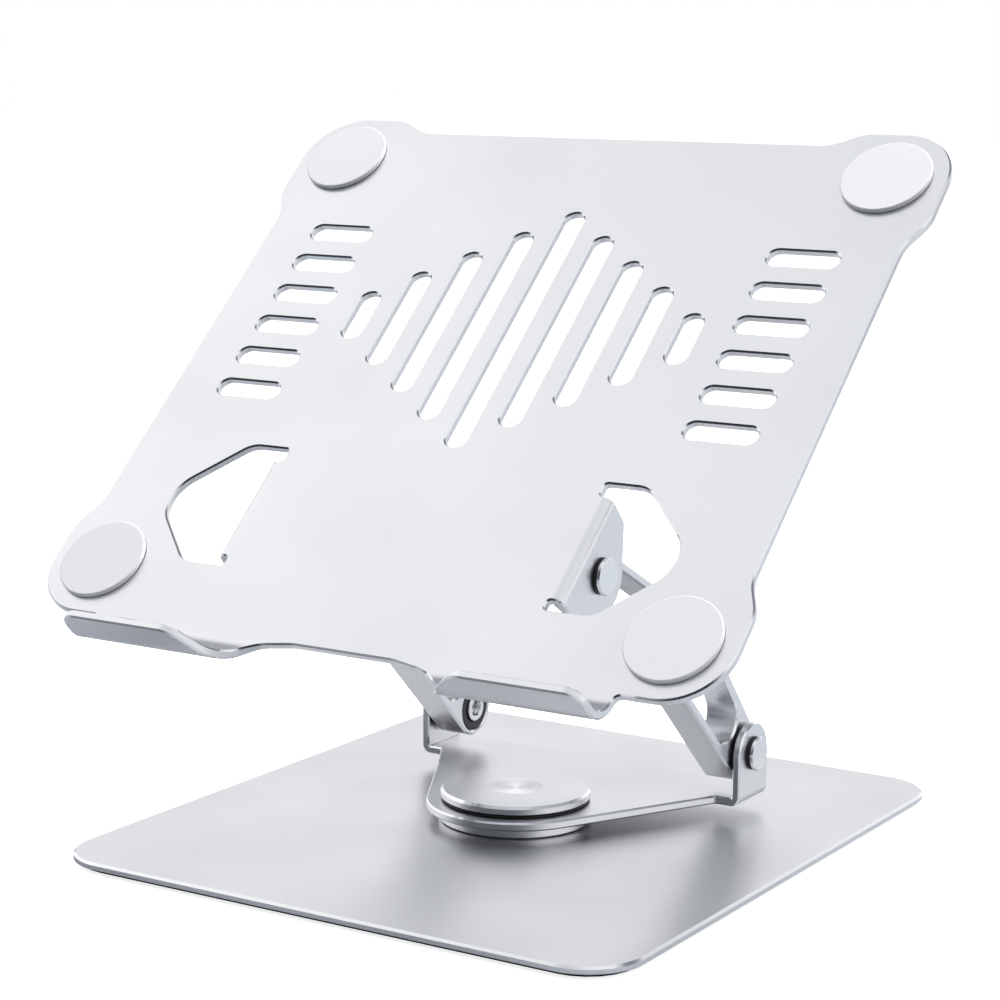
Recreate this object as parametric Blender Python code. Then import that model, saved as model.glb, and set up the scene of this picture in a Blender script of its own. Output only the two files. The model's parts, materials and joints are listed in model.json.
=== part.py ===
"""Laptop stand: a swivelling base, two hinged arms and a slotted tray.

Metres, +Z up. The origin is under the middle of the base, on the surface that
the stand rests on. +X is the stand's right and -Y its front.
"""

import math

import bmesh
import bpy
from mathutils import Matrix, Vector

MM = 0.001
GAP = 0.3 * MM                      # kept between pieces that touch
ARC_STEP = math.radians(15)         # longest turn of one facet in an outline
CORNER_STEP = math.radians(30)      # the same on small hidden radii
ROUND_SIDES = 32                    # facets of the swivel's discs
PIN_SIDES = 20                      # facets of a hinge's shown pieces
HIDDEN_SIDES = 12                   # facets of small hidden pieces

# Base: a flat plate on a thin mat
BASE_WIDTH = 215 * MM
BASE_DEPTH = 242.2 * MM
BASE_CORNER = 20 * MM
BASE_SHEET = 2.5 * MM
BASE_CHAMFER = 0.6 * MM
MAT_SHEET = 1.2 * MM
MAT_INSET = 3 * MM

# Swivel: hub, washers, bracket and cap stacked on the middle of the base
HUB_RADIUS = 26.7 * MM
HUB_SHEET = 2.9 * MM
BOSS_RADIUS = 12 * MM
THIN_WASHER = 0.3 * MM              # lower washer's thickness
UPPER_WASHER = 0.5 * MM
CAP_RADIUS = 26.2 * MM
CAP_SHEET = 3 * MM
CAP_CHAMFER = 0.8 * MM
DIMPLE_RADIUS = 9.5 * MM
DIMPLE_DEPTH = 0.5 * MM
SPRING_INNER = 13.5 * MM
SPRING_WIDTH = 6 * MM
SPRING_SHEET = 0.5 * MM
SPRING_RISE = 0.4 * MM
BOLT_RADIUS = 3 * MM
BOLT_HEAD_RADIUS = 5.5 * MM
BOLT_HEAD = 1.4 * MM
BOLT_GRIP = 1.5 * MM                # how far the bolt reaches into the cap
SCREW_COUNT = 3
SCREW_CIRCLE = 19 * MM
SCREW_RADIUS = 1.5 * MM
SCREW_HEAD_RADIUS = 3 * MM
SCREW_GRIP = 2 * MM                 # how far a screw reaches into the hub

# Bracket: a nose plate bent up into an ear on each side
SHEET = 3 * MM                      # thickness of the bracket and of the tray
EAR_OUTER = 66.3 * MM               # outer face of every ear, from the middle
NOSE_RADIUS = 31.2 * MM
NOSE_ANGLE = math.radians(28.2)     # lean of the nose's straight sides
NOSE_FILLET = 2 * MM
BRACKET_EAR_WIDTH = 21.5 * MM
HINGE_BACK = 51.3 * MM              # lower hinge behind the swivel's axis
HINGE_ABOVE_PLATE = 17.4 * MM       # lower hinge above the bracket's underside

# Arms: bent bars with a long slot, in (along, rise) from the lower hinge
ARM_LENGTH = 135.8 * MM
ARM_ANGLE = math.radians(36.9)      # rise of the line between the hinges
ARM_THICKNESS = 12.5 * MM
ARM_END_RADIUS = 10.4 * MM
ARM_CHAMFER = 0.6 * MM
ELBOW_ALONG = 55.4 * MM
ELBOW_BACK = 23.2 * MM              # corner of the upper edge above the line
ELBOW_FRONT = -4.2 * MM             # corner of the lower edge
ELBOW_RADIUS = 25 * MM
ARM_WALL = 3.4 * MM
SLOT_END_LOW = 18.9 * MM            # centre of the slot's end, from its hinge
SLOT_END_HIGH = 19 * MM
SLOT_RADIUS = 7.9 * MM
SLOT_OFFSET_LOW = 3.3 * MM          # centre of the slot's end above the line
SLOT_OFFSET_HIGH = 2.3 * MM

# Hinges: measured outward along X from the middle of the stand
ARM_CLEARANCE = 1.1 * MM            # between an arm and the ear beside it
FRICTION_WASHER = 0.5 * MM
FRICTION_WASHER_RADIUS = 9 * MM
PIN_RADIUS = 2.7 * MM
PIN_HEAD_RADIUS = 6 * MM
PIN_HEAD = 1.3 * MM
PIN_CHAMFER = 0.4 * MM
HEAD_WASHER = 0.6 * MM
HEAD_WASHER_RADIUS = 5.9 * MM
SLEEVE_RADIUS = 5 * MM
SLEEVE_PROUD = 0.6 * MM             # how far the sleeve stands out of the arm
BUSH_WALL = 1.2 * MM
BUSH_FLANGE_RADIUS = 8.3 * MM
BUSH_FLANGE = 1.5 * MM

# Tray, in (across, up the slope) from the line through its front pads
TRAY_TILT = math.radians(42.2)
TRAY_HINGE_UP = 30.1 * MM           # hinge up the slope
ARM_TO_TRAY = 0.6 * MM              # between an arm's round end and the tray above it
TRAY_HINGE_BELOW = SHEET + ARM_END_RADIUS + ARM_TO_TRAY     # hinge below the tray's top face
TRAY_HALF_WIDTH = 130.2 * MM
TRAY_BACK = 214.1 * MM
TRAY_FRONT = -20.6 * MM
TRAY_CORNER = 20.8 * MM             # radius of the lobes at its corners
SIDE_WAIST = 5.5 * MM               # how far the sides draw in between the lobes
BACK_WAIST = 6 * MM
LOBE_FRONT = 40.6 * MM              # from an edge to the middle of the slope to the waist
LOBE_BACK = 45.1 * MM
LOBE_ACROSS = 42.2 * MM
LOBE_SLOPE = 11 * MM                # length of that slope
LOBE_STEP_RADIUS = 16 * MM
PAD_INSET = 21.3 * MM               # pads' centres in from the tray's edges
PAD_RADIUS = 15.7 * MM
PAD_SHEET = 1.5 * MM

# Tray's slots
CENTRE_SLOTS_EACH_SIDE = 4
CENTRE_SLOT_PITCH = 16 * MM
CENTRE_SLOT_MIDDLE = 117.5 * MM
CENTRE_SLOT_HALF = 53.6 * MM        # half the longest slot's length
CENTRE_SLOT_STEP = 10.7 * MM        # each slot outward is shorter by this
CENTRE_SLOT_RADIUS = 4.1 * MM
SIDE_SLOT_COUNT = 6
SIDE_SLOT_PITCH = 15.07 * MM
SIDE_SLOT_IN = 37.9 * MM            # slots' middle in from the tray's side
SIDE_SLOT_LAST = 155.5 * MM
SIDE_SLOT_HALF = 13 * MM
SIDE_SLOT_RADIUS = 3.6 * MM

# Tray's ears and the windows that they are bent out of
TRAY_EAR_HALF = 20.65 * MM
TRAY_EAR_TIP_RADIUS = 13.3 * MM
WINDOW_FRONT = 24.5 * MM            # window's edges before and behind the hinge
WINDOW_BACK = 25.8 * MM
WINDOW_REACH = 33.9 * MM            # outermost point of the window past the ear
WINDOW_TIP_RADIUS = 13.5 * MM
WINDOW_CORNER = 8 * MM
RELIEF = 1.3 * MM                   # notch beside the ear's bend

# Tray's lips
NOTCH_HALF = 20 * MM                # half width of the notch between the lips
LIP_INNER = 36.5 * MM
LIP_LEAD = 3.5 * MM                 # slope from the notch into a lip
LIP_ROOT_FILLET = 1.2 * MM
LIP_SLOPE_TOP = 54 * MM
LIP_SLOPE_FOOT = 38.5 * MM
LIP_SLOPE_RISE = 3.2 * MM
LIP_SETBACK = 32.2 * MM             # lips' outer ends in from the tray's side
LIP_HEIGHT = 16.7 * MM
LIP_CORNER = 6 * MM
LIP_BEND = 8.5 * MM                 # inner radius of the bend
LIP_BEND_START = -22 * MM

# Places on the tray, worked out from the sizes above
TRAY_WAIST = TRAY_HALF_WIDTH - SIDE_WAIST
TRAY_BACK_WAIST = TRAY_BACK - BACK_WAIST
PAD_ACROSS = TRAY_HALF_WIDTH - PAD_INSET
PAD_FRONT = TRAY_FRONT + PAD_INSET
PAD_BACK = TRAY_BACK - PAD_INSET
SIDE_SLOT_ACROSS = TRAY_HALF_WIDTH - SIDE_SLOT_IN
LIP_OUTER = TRAY_HALF_WIDTH - LIP_SETBACK

# Heights of the stack, worked out from the sizes above
BASE_UNDER = MAT_SHEET + GAP
BASE_TOP = BASE_UNDER + BASE_SHEET
HUB_UNDER = BASE_TOP + GAP
HUB_TOP = HUB_UNDER + HUB_SHEET
LOWER_WASHER_UNDER = HUB_TOP + GAP
BRACKET_UNDER = LOWER_WASHER_UNDER + THIN_WASHER + GAP
BRACKET_TOP = BRACKET_UNDER + SHEET
UPPER_WASHER_UNDER = BRACKET_TOP + GAP
CAP_UNDER = UPPER_WASHER_UNDER + UPPER_WASHER + GAP
CAP_TOP = CAP_UNDER + CAP_SHEET
SPRING_HEIGHT = SPRING_SHEET + SPRING_RISE
HINGE_HEIGHT = BRACKET_UNDER + HINGE_ABOVE_PLATE

# Places along a hinge
EAR_INNER = EAR_OUTER - SHEET
ARM_OUTER = EAR_INNER - ARM_CLEARANCE
ARM_INNER = ARM_OUTER - ARM_THICKNESS
PIN_HOLE = PIN_RADIUS + GAP
BUSH_BORE = SLEEVE_RADIUS + GAP
BUSH_RADIUS = BUSH_BORE + BUSH_WALL
ARM_BORE = BUSH_RADIUS + GAP
FLANGE_POCKET = BUSH_FLANGE_RADIUS + GAP

# Standing directions for outlines drawn in local X and Y
ALONG_X = Matrix(((0, 0, 1, 0), (1, 0, 0, 0), (0, 1, 0, 0), (0, 0, 0, 1)))
ALONG_Y = Matrix.Rotation(math.pi / 2, 4, "X")

# Meshes on a pivot are measured from it
UNDER_SWIVEL = Matrix.Translation((0, 0, -BRACKET_UNDER))
TRAY_TURN = Matrix.Translation((0, -TRAY_HINGE_UP, TRAY_HINGE_BELOW))


def clear_scene():
    for obj in list(bpy.data.objects):
        bpy.data.objects.remove(obj)


def finish(name, colour, roughness, metallic):
    """Plain Principled material."""
    material = bpy.data.materials.new(name)
    material.use_nodes = True
    shader = material.node_tree.nodes["Principled BSDF"]
    shader.inputs["Base Color"].default_value = (*colour, 1)
    shader.inputs["Roughness"].default_value = roughness
    shader.inputs["Metallic"].default_value = metallic
    material.diffuse_color = (*colour, 1)
    return material


# ---- outlines -------------------------------------------------------------

def swept(centre, spoke, turn, step):
    """Points of an arc that carries a spoke around a centre."""
    count = max(1, math.ceil(abs(turn) / step - 1e-6))
    return [centre + Matrix.Rotation(turn * i / count, 2) @ spoke for i in range(count + 1)]


def rounded(corners, step=ARC_STEP):
    """Closed outline through (x, y, radius) corners."""
    outline = []
    for index, (x, y, radius) in enumerate(corners):
        corner = Vector((x, y))
        if radius == 0:
            outline.append(corner)
            continue
        following = corners[(index + 1) % len(corners)]
        before = (Vector(corners[index - 1][:2]) - corner).normalized()
        after = (Vector(following[:2]) - corner).normalized()
        half = before.angle(after) / 2
        centre = corner + (before + after).normalized() * radius / math.sin(half)
        reach = radius / math.tan(half)
        start = corner + before * reach - centre
        end = corner + after * reach - centre
        turn = math.atan2(start.cross(end), start.dot(end))
        outline += swept(centre, start, turn, step)
    return outline


def belt(circles, step=ARC_STEP):
    """Closed outline that runs around (x, y, radius) circles like a belt.

    The belt goes anticlockwise. A negative radius is a circle outside it.
    """
    count = len(circles)
    headings = []
    for index in range(count):
        here = circles[index]
        there = circles[(index + 1) % count]
        way = Vector(there[:2]) - Vector(here[:2])
        lean = math.asin((here[2] - there[2]) / way.length)
        headings.append(math.atan2(way.y, way.x) + lean)
    outline = []
    for index, (x, y, radius) in enumerate(circles):
        arriving = headings[index - 1]
        turn = (headings[index] - arriving) % math.tau
        if radius < 0:
            turn -= math.tau
        spoke = Vector((math.sin(arriving), -math.cos(arriving))) * radius
        outline += swept(Vector((x, y)), spoke, turn, step)
    return outline


def circle(x, y, radius, sides):
    """Regular outline of a round hole or disc."""
    turns = [math.tau * i / sides for i in range(sides)]
    return [Vector((x + radius * math.cos(a), y + radius * math.sin(a))) for a in turns]


def long_slot(x, y, half_x, half_y, radius):
    """Slot with round ends."""
    corners = ((-1, -1), (1, -1), (1, 1), (-1, 1))
    return rounded([(x + i * half_x, y + j * half_y, radius * 0.999) for i, j in corners],
                   CORNER_STEP)


def facing(loop, anticlockwise):
    """The loop, turned round if it runs the other way."""
    area = sum(a.cross(b) for a, b in zip(loop, loop[1:] + loop[:1]))
    return loop if (area > 0) == anticlockwise else loop[::-1]


def inset(loop, depth):
    """The loop moved to its left, which is into the material."""
    moved = []
    for index, point in enumerate(loop):
        before = (point - loop[index - 1]).normalized()
        after = (loop[(index + 1) % len(loop)] - point).normalized()
        side = Vector((-before.y - after.y, before.x + after.x))
        moved.append(point + side * depth / (1 + before.dot(after)))
    return moved


# ---- solids ---------------------------------------------------------------

def slab(outline, low, high, holes=(), chamfer=0.0):
    """Flat plate between two heights, its rim chamfered on both faces."""
    bm = bmesh.new()
    rims = {"low": [], "high": []}
    for index, loop in enumerate([outline, *holes]):
        loop = facing(loop, index == 0)
        levels = [(low, 0), (high, 0)]
        if chamfer and index == 0:
            levels = [(low, chamfer), (low + chamfer, 0), (high - chamfer, 0), (high, chamfer)]
        rings = []
        for height, depth in levels:
            rings.append([bm.verts.new((*point, height)) for point in inset(loop, depth)])
        for under, over in zip(rings, rings[1:]):
            for i in range(len(loop)):
                bm.faces.new((under[i - 1], under[i], over[i], over[i - 1]))
        for rim, ring in (("low", rings[0]), ("high", rings[-1])):
            rims[rim] += [bm.edges.get((ring[i - 1], ring[i])) for i in range(len(ring))]
    for edges in rims.values():
        bmesh.ops.triangle_fill(bm, edges=edges, use_beauty=True)
    bmesh.ops.recalc_face_normals(bm, faces=bm.faces)
    return bm


def turned(profile, sides):
    """Body turned about +Z from a closed outline of (radius, height) points."""
    bm = bmesh.new()
    rings = []
    for radius, height in profile:
        if radius == 0:
            rings.append([bm.verts.new((0, 0, height))])
        else:
            points = circle(0, 0, radius, sides)
            rings.append([bm.verts.new((*point, height)) for point in points])
    for under, over in zip(rings, rings[1:] + rings[:1]):
        if len(under) == len(over) == 1:
            continue
        for i in range(sides):
            around = [under[(i - 1) % len(under)], under[i % len(under)],
                      over[i % len(over)], over[(i - 1) % len(over)]]
            bm.faces.new(list(dict.fromkeys(around)))
    bmesh.ops.recalc_face_normals(bm, faces=bm.faces)
    return bm


def ring(inner, outer, low, high, sides):
    return turned([(inner, low), (outer, low), (outer, high), (inner, high)], sides)


def piece(name, bm, material, parent=None, turn=None):
    """Named object from a body, turned into place first."""
    if turn is not None:
        bmesh.ops.transform(bm, matrix=turn, verts=bm.verts)
    mesh = bpy.data.meshes.new(name)
    bm.to_mesh(mesh)
    bm.free()
    mesh.materials.append(material)
    mesh.shade_smooth()
    mesh.set_sharp_from_angle(angle=math.radians(32))
    obj = bpy.data.objects.new(name, mesh)
    bpy.context.collection.objects.link(obj)
    obj.parent = parent
    return obj


def hidden(name, bm, parent=None, turn=None):
    """Tool body for a Boolean, left out of the model."""
    obj = piece(name, bm, bpy.data.materials[0], parent, turn)
    obj.hide_render = True
    obj.display_type = "WIRE"
    return obj


def boolean(obj, tool, operation):
    modifier = obj.modifiers.new(tool.name, "BOOLEAN")
    modifier.operation = operation
    modifier.object = tool


def pivot(name, location, tilt, parent=None):
    """Empty on a joint's axis."""
    obj = bpy.data.objects.new(name, None)
    bpy.context.collection.objects.link(obj)
    obj.location = location
    obj.rotation_euler.x = tilt
    obj.parent = parent
    return obj


# ---- base and swivel ------------------------------------------------------

def screw_places():
    turns = [math.tau * (i / SCREW_COUNT + 0.25) for i in range(SCREW_COUNT)]
    return [(SCREW_CIRCLE * math.cos(a), SCREW_CIRCLE * math.sin(a)) for a in turns]


def plate_outline(edge):
    """Rounded rectangle of the base, drawn in from its edge."""
    x = BASE_WIDTH / 2 - edge
    y = BASE_DEPTH / 2 - edge
    radius = BASE_CORNER - edge
    return rounded([(-x, -y, radius), (x, -y, radius), (x, y, radius), (-x, y, radius)])


def make_base(finishes):
    piece("base_mat", slab(plate_outline(MAT_INSET), 0, MAT_SHEET), finishes["rubber"])
    plate = piece("base_plate", slab(plate_outline(0), BASE_UNDER, BASE_TOP,
                                     chamfer=BASE_CHAMFER), finishes["aluminium"])
    hub_hole = HUB_UNDER + SCREW_GRIP + GAP
    shank = SCREW_RADIUS + GAP
    head = SCREW_HEAD_RADIUS + GAP
    slope = SCREW_HEAD_RADIUS - SCREW_RADIUS
    hub = make_hub(finishes)
    for number, (x, y) in enumerate(screw_places(), 1):
        place = Matrix.Translation((x, y, 0))
        sink = turned([(0, BASE_UNDER - GAP), (head + GAP, BASE_UNDER - GAP),
                       (shank, BASE_UNDER + slope), (shank, hub_hole), (0, hub_hole)],
                      HIDDEN_SIDES)
        tool = hidden(f"screw_hole_{number}", sink, turn=place)
        boolean(plate, tool, "DIFFERENCE")
        boolean(hub, tool, "DIFFERENCE")
        screw = turned([(0, BASE_UNDER), (SCREW_HEAD_RADIUS, BASE_UNDER),
                        (SCREW_RADIUS, BASE_UNDER + slope), (SCREW_RADIUS, hub_hole - GAP),
                        (0, hub_hole - GAP)], HIDDEN_SIDES)
        piece(f"hub_screw_{number}", screw, finishes["steel"], turn=place)


def make_hub(finishes):
    """Spacer disc whose boss carries the bracket and meets the cap."""
    boss_top = CAP_UNDER - GAP
    pocket = BOLT_HEAD_RADIUS + GAP
    pocket_top = HUB_UNDER + BOLT_HEAD + GAP
    bore = BOLT_RADIUS + GAP
    profile = [(pocket, HUB_UNDER), (HUB_RADIUS, HUB_UNDER), (HUB_RADIUS, HUB_TOP),
               (BOSS_RADIUS, HUB_TOP), (BOSS_RADIUS, boss_top), (bore, boss_top),
               (bore, pocket_top), (pocket, pocket_top)]
    return piece("swivel_hub", turned(profile, ROUND_SIDES), finishes["aluminium"])


def make_swivel(finishes, swivel):
    """Bolt, washers, spring and cap. The cap is bolted to the hub."""
    shank_top = CAP_UNDER + BOLT_GRIP
    bolt = turned([(0, HUB_UNDER), (BOLT_HEAD_RADIUS, HUB_UNDER),
                   (BOLT_HEAD_RADIUS, HUB_UNDER + BOLT_HEAD),
                   (BOLT_RADIUS, HUB_UNDER + BOLT_HEAD), (BOLT_RADIUS, shank_top),
                   (0, shank_top)], HIDDEN_SIDES)
    piece("swivel_bolt", bolt, finishes["steel"])
    washer_bore = BOSS_RADIUS + GAP
    lower = ring(washer_bore, HUB_RADIUS - 2 * GAP, LOWER_WASHER_UNDER,
                 LOWER_WASHER_UNDER + THIN_WASHER, ROUND_SIDES)
    piece("lower_swivel_washer", lower, finishes["plastic"])
    upper = ring(washer_bore, CAP_RADIUS - GAP, UPPER_WASHER_UNDER,
                 UPPER_WASHER_UNDER + UPPER_WASHER, ROUND_SIDES)
    piece("upper_swivel_washer", upper, finishes["plastic"], swivel, UNDER_SWIVEL)
    spring_outer = SPRING_INNER + SPRING_WIDTH
    spring = turned([(SPRING_INNER, CAP_UNDER + SPRING_RISE), (spring_outer, CAP_UNDER),
                     (spring_outer, CAP_UNDER + SPRING_SHEET),
                     (SPRING_INNER, CAP_UNDER + SPRING_HEIGHT)], ROUND_SIDES)
    piece("swivel_spring", spring, finishes["steel"])
    bore = BOLT_RADIUS + GAP
    pocket_top = CAP_UNDER + SPRING_HEIGHT + GAP
    cap = turned([(0, shank_top + GAP), (bore, shank_top + GAP), (bore, CAP_UNDER),
                  (SPRING_INNER - GAP, CAP_UNDER), (SPRING_INNER - GAP, pocket_top),
                  (spring_outer + GAP, pocket_top), (spring_outer + GAP, CAP_UNDER),
                  (CAP_RADIUS, CAP_UNDER), (CAP_RADIUS, CAP_TOP - CAP_CHAMFER),
                  (CAP_RADIUS - CAP_CHAMFER, CAP_TOP), (DIMPLE_RADIUS, CAP_TOP),
                  (DIMPLE_RADIUS - DIMPLE_DEPTH, CAP_TOP - DIMPLE_DEPTH),
                  (0, CAP_TOP - DIMPLE_DEPTH)], ROUND_SIDES)
    piece("swivel_cap", cap, finishes["aluminium"])


# ---- bracket --------------------------------------------------------------

def make_bracket(finishes, swivel):
    """Channel trimmed to two round ears, with the nose plate joined to it."""
    front = HINGE_BACK - BRACKET_EAR_WIDTH / 2
    back = HINGE_BACK + BRACKET_EAR_WIDTH / 2
    top = HINGE_HEIGHT + BRACKET_EAR_WIDTH / 2
    channel = rounded([(-EAR_OUTER, BRACKET_UNDER, SHEET), (EAR_OUTER, BRACKET_UNDER, SHEET),
                       (EAR_OUTER, top, 0), (EAR_INNER, top, 0), (EAR_INNER, BRACKET_TOP, 0),
                       (-EAR_INNER, BRACKET_TOP, 0), (-EAR_INNER, top, 0),
                       (-EAR_OUTER, top, 0)], CORNER_STEP)
    bracket = piece("bracket", slab(channel, -back, -front), finishes["aluminium"], swivel,
                    UNDER_SWIVEL @ ALONG_Y)
    ear = rounded([(front, 0, 0), (back, 0, 0), (back, top, BRACKET_EAR_WIDTH / 2.001),
                   (front, top, BRACKET_EAR_WIDTH / 2.001)])
    trim = hidden("bracket_ear_trim", slab(ear, -EAR_OUTER - SHEET, EAR_OUTER + SHEET),
                  swivel, UNDER_SWIVEL @ ALONG_X)
    boolean(bracket, trim, "INTERSECT")
    apex = NOSE_RADIUS / math.sin(NOSE_ANGLE)
    shoulder = (front + apex) * math.tan(NOSE_ANGLE)
    outer = EAR_INNER - SHEET / 2
    nose = rounded([(0, -apex, NOSE_RADIUS), (shoulder, front, NOSE_FILLET),
                    (outer, front, 0), (outer, back, 0), (-outer, back, 0),
                    (-outer, front, 0), (-shoulder, front, NOSE_FILLET)])
    hole = circle(0, 0, BOSS_RADIUS + GAP, ROUND_SIDES)
    plate = hidden("bracket_nose", slab(nose, BRACKET_UNDER, BRACKET_TOP, [hole]),
                   swivel, UNDER_SWIVEL)
    boolean(bracket, plate, "UNION")
    bore = turned([(0, -EAR_OUTER - SHEET), (PIN_HOLE, -EAR_OUTER - SHEET),
                   (PIN_HOLE, EAR_OUTER + SHEET), (0, EAR_OUTER + SHEET)], HIDDEN_SIDES)
    place = Matrix.Translation((0, HINGE_BACK, HINGE_HEIGHT)) @ Matrix.Rotation(math.pi / 2, 4, "Y")
    boolean(bracket, hidden("bracket_pin_hole", bore, swivel, UNDER_SWIVEL @ place),
            "DIFFERENCE")


# ---- arms -----------------------------------------------------------------

def arm_outlines():
    """Outer edge and slot, as (along, rise) outlines from the lower hinge."""
    front = ELBOW_FRONT - ELBOW_RADIUS
    back = ELBOW_BACK - ELBOW_RADIUS
    edge = [(0, 0, ARM_END_RADIUS), (ELBOW_ALONG, front, -ELBOW_RADIUS),
            (ARM_LENGTH, 0, ARM_END_RADIUS), (ELBOW_ALONG, back, ELBOW_RADIUS)]
    slot = [(SLOT_END_LOW, SLOT_OFFSET_LOW, SLOT_RADIUS),
            (ELBOW_ALONG, front, -ELBOW_RADIUS - ARM_WALL),
            (ARM_LENGTH - SLOT_END_HIGH, SLOT_OFFSET_HIGH, SLOT_RADIUS),
            (ELBOW_ALONG, back, ELBOW_RADIUS - ARM_WALL)]
    return belt(edge), belt(slot)


def make_arm(name, side, finishes, arm):
    edge, slot = arm_outlines()
    bores = [circle(along, 0, ARM_BORE, PIN_SIDES) for along in (0, ARM_LENGTH)]
    low, high = sorted((side * ARM_INNER, side * ARM_OUTER))
    to_front = Matrix.Rotation(math.pi, 4, "Z") @ Matrix.Scale(-1, 4, (1, 0, 0))
    bm = slab(edge, low, high, [slot, *bores], ARM_CHAMFER)
    bmesh.ops.transform(bm, matrix=to_front @ ALONG_X, verts=bm.verts)
    bmesh.ops.recalc_face_normals(bm, faces=bm.faces)
    bar = piece(name, bm, finishes["aluminium"], arm)
    pocket_floor = ARM_INNER + GAP + BUSH_FLANGE + GAP
    for number, along in enumerate((0, ARM_LENGTH), 1):
        pocket = turned([(0, ARM_INNER - SHEET), (FLANGE_POCKET, ARM_INNER - SHEET),
                         (FLANGE_POCKET, pocket_floor), (0, pocket_floor)], PIN_SIDES)
        tool = hidden(f"{name}_pocket_{number}", pocket, arm, hinge_place(side, along))
        boolean(bar, tool, "DIFFERENCE")


def hinge_place(side, along=0.0):
    """Turns a body on +Z to point outward along X, at a place along the arm."""
    return Matrix.Translation((0, -along, 0)) @ Matrix.Rotation(side * math.pi / 2, 4, "Y")


# ---- hinges ---------------------------------------------------------------

def make_hinge(level, side_name, side, finishes, holder, holder_turn, arm, along):
    """Five turned pieces. All but the bush belong to the ears' body."""
    name = f"{level}_{{}}_{side_name}"
    metal = finishes["bright"]
    turn = holder_turn @ hinge_place(side)
    washer_low = EAR_OUTER + GAP
    washer_high = washer_low + HEAD_WASHER
    washer = ring(PIN_HOLE, HEAD_WASHER_RADIUS, washer_low, washer_high, PIN_SIDES)
    piece(name.format("pin_washer"), washer, finishes["plastic"], holder, turn)
    head_low = washer_high + GAP
    head_high = head_low + PIN_HEAD
    pin_end = ARM_INNER + BUSH_FLANGE
    pin = turned([(0, pin_end), (PIN_RADIUS, pin_end), (PIN_RADIUS, head_low),
                  (PIN_HEAD_RADIUS, head_low), (PIN_HEAD_RADIUS, head_high - PIN_CHAMFER),
                  (PIN_HEAD_RADIUS - PIN_CHAMFER, head_high), (0, head_high)], PIN_SIDES)
    piece(name.format("pin"), pin, metal, holder, turn)
    sleeve = ring(PIN_HOLE, SLEEVE_RADIUS, ARM_INNER - SLEEVE_PROUD, EAR_INNER - GAP,
                  HIDDEN_SIDES)
    piece(name.format("sleeve"), sleeve, metal, holder, turn)
    friction_low = ARM_OUTER + (ARM_CLEARANCE - FRICTION_WASHER) / 2
    friction = ring(SLEEVE_RADIUS + GAP, FRICTION_WASHER_RADIUS, friction_low,
                    friction_low + FRICTION_WASHER, HIDDEN_SIDES)
    piece(name.format("friction_washer"), friction, finishes["plastic"], holder, turn)
    flange_low = ARM_INNER + GAP
    flange_high = flange_low + BUSH_FLANGE
    bush = turned([(BUSH_BORE, flange_low), (BUSH_FLANGE_RADIUS, flange_low),
                   (BUSH_FLANGE_RADIUS, flange_high), (BUSH_RADIUS, flange_high),
                   (BUSH_RADIUS, ARM_OUTER), (BUSH_BORE, ARM_OUTER)], PIN_SIDES)
    piece(name.format("bush"), bush, finishes["plastic"], arm, hinge_place(side, along))


# ---- tray -----------------------------------------------------------------

def tray_outline():
    """Waisted sheet with a round lobe at each corner."""
    lobe = TRAY_CORNER
    step = LOBE_STEP_RADIUS
    run = LOBE_SLOPE / 2
    front_slope = TRAY_FRONT + LOBE_FRONT
    back_slope = TRAY_BACK - LOBE_BACK
    across_slope = TRAY_HALF_WIDTH - LOBE_ACROSS
    half = [(NOTCH_HALF, TRAY_FRONT, step), (LIP_INNER - LIP_LEAD, LIP_BEND_START, step / 2),
            (LIP_OUTER, LIP_BEND_START, 0), (LIP_OUTER, TRAY_FRONT, LIP_ROOT_FILLET),
            (TRAY_HALF_WIDTH, TRAY_FRONT, lobe),
            (TRAY_HALF_WIDTH, front_slope - run, step), (TRAY_WAIST, front_slope + run, step),
            (TRAY_WAIST, back_slope - run, step), (TRAY_HALF_WIDTH, back_slope + run, step),
            (TRAY_HALF_WIDTH, TRAY_BACK, lobe), (across_slope + run, TRAY_BACK, step),
            (across_slope - run, TRAY_BACK_WAIST, step)]
    return rounded(half + [(-x, y, radius) for x, y, radius in reversed(half)])


def window_outline(side):
    """Opening that an ear is bent out of."""
    front = TRAY_HINGE_UP - WINDOW_FRONT
    back = TRAY_HINGE_UP + WINDOW_BACK
    ear_front = TRAY_HINGE_UP - TRAY_EAR_HALF
    ear_back = TRAY_HINGE_UP + TRAY_EAR_HALF
    fold = EAR_INNER - GAP
    notch = EAR_INNER - RELIEF
    point = EAR_INNER + WINDOW_REACH + WINDOW_TIP_RADIUS * (math.sqrt(2) - 1)
    corners = [(notch, front, RELIEF), (point - WINDOW_FRONT, front, WINDOW_CORNER),
               (point, TRAY_HINGE_UP, WINDOW_TIP_RADIUS),
               (point - WINDOW_BACK, back, WINDOW_CORNER), (notch, back, RELIEF),
               (notch, ear_back, 0), (fold, ear_back, 0), (fold, ear_front, 0),
               (notch, ear_front, 0)]
    return rounded([(side * x, y, radius) for x, y, radius in corners])


def tray_slots():
    slots = []
    for index in range(-CENTRE_SLOTS_EACH_SIDE, CENTRE_SLOTS_EACH_SIDE + 1):
        half = CENTRE_SLOT_HALF - abs(index) * CENTRE_SLOT_STEP
        slots.append(long_slot(index * CENTRE_SLOT_PITCH, CENTRE_SLOT_MIDDLE,
                               CENTRE_SLOT_RADIUS, half, CENTRE_SLOT_RADIUS))
    for side in (-1, 1):
        for index in range(SIDE_SLOT_COUNT):
            up = SIDE_SLOT_LAST - index * SIDE_SLOT_PITCH
            slots.append(long_slot(side * SIDE_SLOT_ACROSS, up, SIDE_SLOT_HALF,
                                   SIDE_SLOT_RADIUS, SIDE_SLOT_RADIUS))
    return slots


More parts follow.
